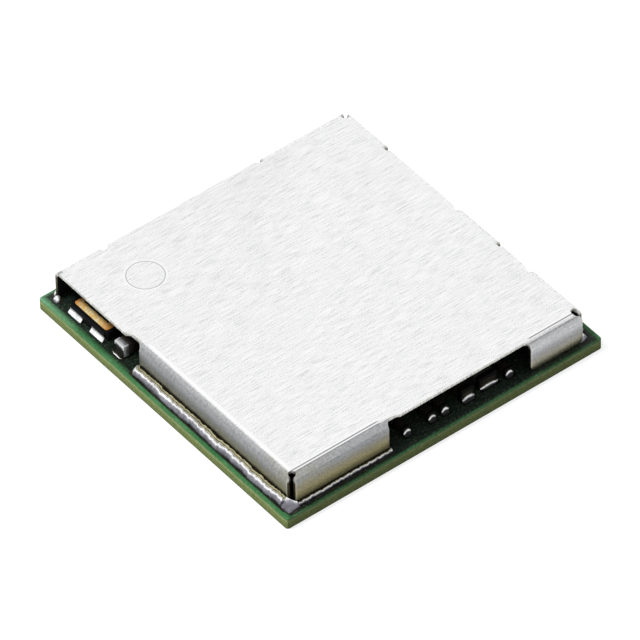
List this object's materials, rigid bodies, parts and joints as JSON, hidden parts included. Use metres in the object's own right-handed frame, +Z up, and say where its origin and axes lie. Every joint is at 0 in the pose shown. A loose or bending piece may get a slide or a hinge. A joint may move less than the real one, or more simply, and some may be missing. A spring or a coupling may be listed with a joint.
{
  "type": "wireless radio module",
  "caption": "Square surface-mount wireless module: a green board under a folded metal shield can, with chips seen at its open sides and lands below.",
  "frame": {"origin": "centre of the board's underside", "axes": "+Z up through the shield can, +X along the longer board edge, with the crystal's corner of the board at -X and -Y"},
  "size_m": [0.0134, 0.0132, 0.0017],
  "materials": {
    "green_laminate": "solder mask over glass laminate",
    "gilt_copper": "gold over nickel over copper",
    "sheet_metal": "brushed, bare",
    "solder": "bright, reflowed",
    "black_ceramic": "fired, satin",
    "white_ceramic": "fired, satin",
    "tan_ceramic": "fired, satin",
    "gilt_lid": "gold plated",
    "tin_plate": "tin plated, satin",
    "mould_compound": "moulded, matt",
    "ferrite": "pressed and fired, matt"
  },
  "bodies": {
    "root": {"circuit_board": "green_laminate", "signal_lands": "gilt_copper", "ground_lands": "gilt_copper", "shield_can": "sheet_metal", "shield_pads": "tin_plate", "shield_seam_solder": "solder", "shield_corner_solder": "solder", "crystal_base": "black_ceramic", "crystal_lid": "gilt_lid", "crystal_terminals": "tin_plate", "radio_chip": "mould_compound", "radio_chip_lands": "tin_plate", "front_end_chip": "mould_compound", "front_end_lands": "tin_plate", "band_filter": "mould_compound", "band_filter_lands": "tin_plate", "antenna_filter_block": "white_ceramic", "antenna_filter_caps": "tin_plate", "power_inductor_block": "ferrite", "power_inductor_caps": "tin_plate", "large_capacitor_blocks": "tan_ceramic", "large_capacitor_caps": "tin_plate", "small_capacitor_blocks": "tan_ceramic", "small_capacitor_caps": "tin_plate", "resistor_blocks": "black_ceramic", "resistor_caps": "tin_plate", "small_inductor_blocks": "ferrite", "small_inductor_caps": "tin_plate", "component_pads": "tin_plate", "component_solder": "solder"}
  },
  "joints": []
}
